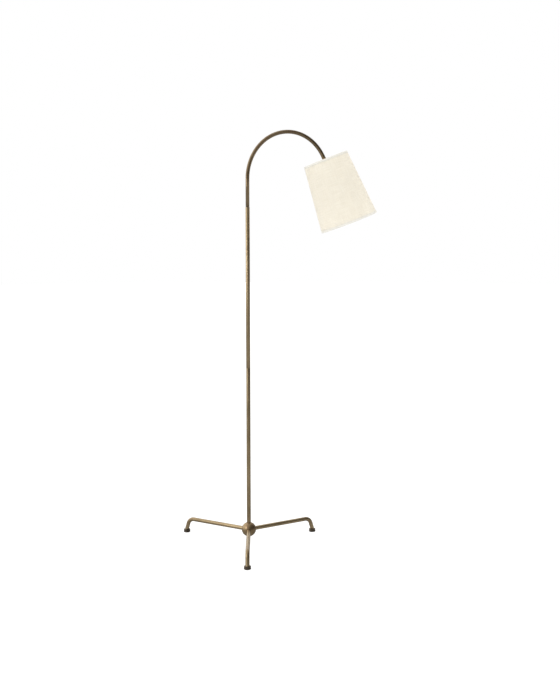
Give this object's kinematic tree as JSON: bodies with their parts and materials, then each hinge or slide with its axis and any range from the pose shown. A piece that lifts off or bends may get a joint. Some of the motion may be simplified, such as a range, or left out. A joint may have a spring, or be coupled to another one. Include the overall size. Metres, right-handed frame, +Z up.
{
  "type": "floor lamp",
  "caption": "Floor lamp with a ball-hub tripod base, slim pole, swivelling arched arm and a tilting tapered linen shade.",
  "frame": {"origin": "middle of the lamp's outline on the floor, at the underside of the foot pads", "axes": "+Z up along the pole, +X the way the arm reaches, -Y toward the front leg"},
  "size_m": [0.7576, 0.4694, 1.6011],
  "materials": {
    "aged_brass": "hand-aged, satin",
    "bright_brass": "plain turned brass",
    "zinc_steel": "zinc plated",
    "felt": "dense felt",
    "inlet_rubber": "matte",
    "lead_cover": "translucent gold",
    "nylon": "brown-black nylon",
    "moulded_black": "moulded, semi-gloss",
    "porcelain": "glazed",
    "bulb_glass": "frosted",
    "linen": "natural linen, laminated",
    "linen_tape": "folded linen tape"
  },
  "bodies": {
    "base": {"hub_ball": "aged_brass", "hub_bottom_cap": "aged_brass", "cord_inlet_bush": "inlet_rubber", "front_leg": "aged_brass", "front_leg_grub_screw": "zinc_steel", "front_foot_cap": "aged_brass", "front_foot_pad": "felt", "right_leg": "aged_brass", "right_leg_grub_screw": "zinc_steel", "right_foot_cap": "aged_brass", "right_foot_pad": "felt", "left_leg": "aged_brass", "left_leg_grub_screw": "zinc_steel", "left_foot_cap": "aged_brass", "left_foot_pad": "felt", "pole_nipple": "zinc_steel", "hub_washer": "zinc_steel", "hub_lock_nut": "zinc_steel", "pole_foot_insert": "bright_brass", "lower_pole": "aged_brass", "pole_coupler": "bright_brass", "upper_pole": "aged_brass", "pole_lead": "lead_cover", "swivel_bush": "aged_brass"},
    "arm": {"arm_tube": "aged_brass", "arm_spigot": "bright_brass", "swivel_washer": "nylon", "swivel_spring_washer": "zinc_steel", "swivel_nut": "zinc_steel", "arm_end_insert": "bright_brass", "arm_lead": "lead_cover", "knuckle_upper": "aged_brass", "knuckle_bolt": "zinc_steel", "knuckle_spring_washer": "zinc_steel", "knuckle_thumb_nut": "bright_brass"},
    "head": {"knuckle_lower": "aged_brass", "socket_cap": "bright_brass", "switch_body": "moulded_black", "socket_shell": "bright_brass", "socket_insulator": "porcelain", "screw_shell": "bright_brass", "centre_contact": "bright_brass", "bulb_base": "zinc_steel", "bulb_glass": "bulb_glass", "shade_fitter": "zinc_steel", "shade_ring_nut": "moulded_black", "linen_shade": "linen", "top_rim_tape": "linen_tape", "bottom_rim_tape": "linen_tape", "bottom_wire_ring": "zinc_steel"},
    "knob": {"switch_knob": "moulded_black"}
  },
  "joints": [
    {"name": "arm_swivel", "type": "hinge", "parent": "base", "child": "arm", "pos_m": [-0.10987, 0.07381, 1.3151], "axis": [0, 0, 1], "range_deg": [-165, 165]},
    {"name": "head_tilt", "type": "hinge", "parent": "arm", "child": "head", "pos_m": [0.20138, 0.07381, 1.44733], "axis": [0, -1, 0], "range_deg": [-30, 40]},
    {"name": "knob_turn", "type": "hinge", "parent": "head", "child": "knob", "pos_m": [0.21539, 0.07381, 1.41094], "axis": [0, -1, 0], "continuous": true}
  ]
}
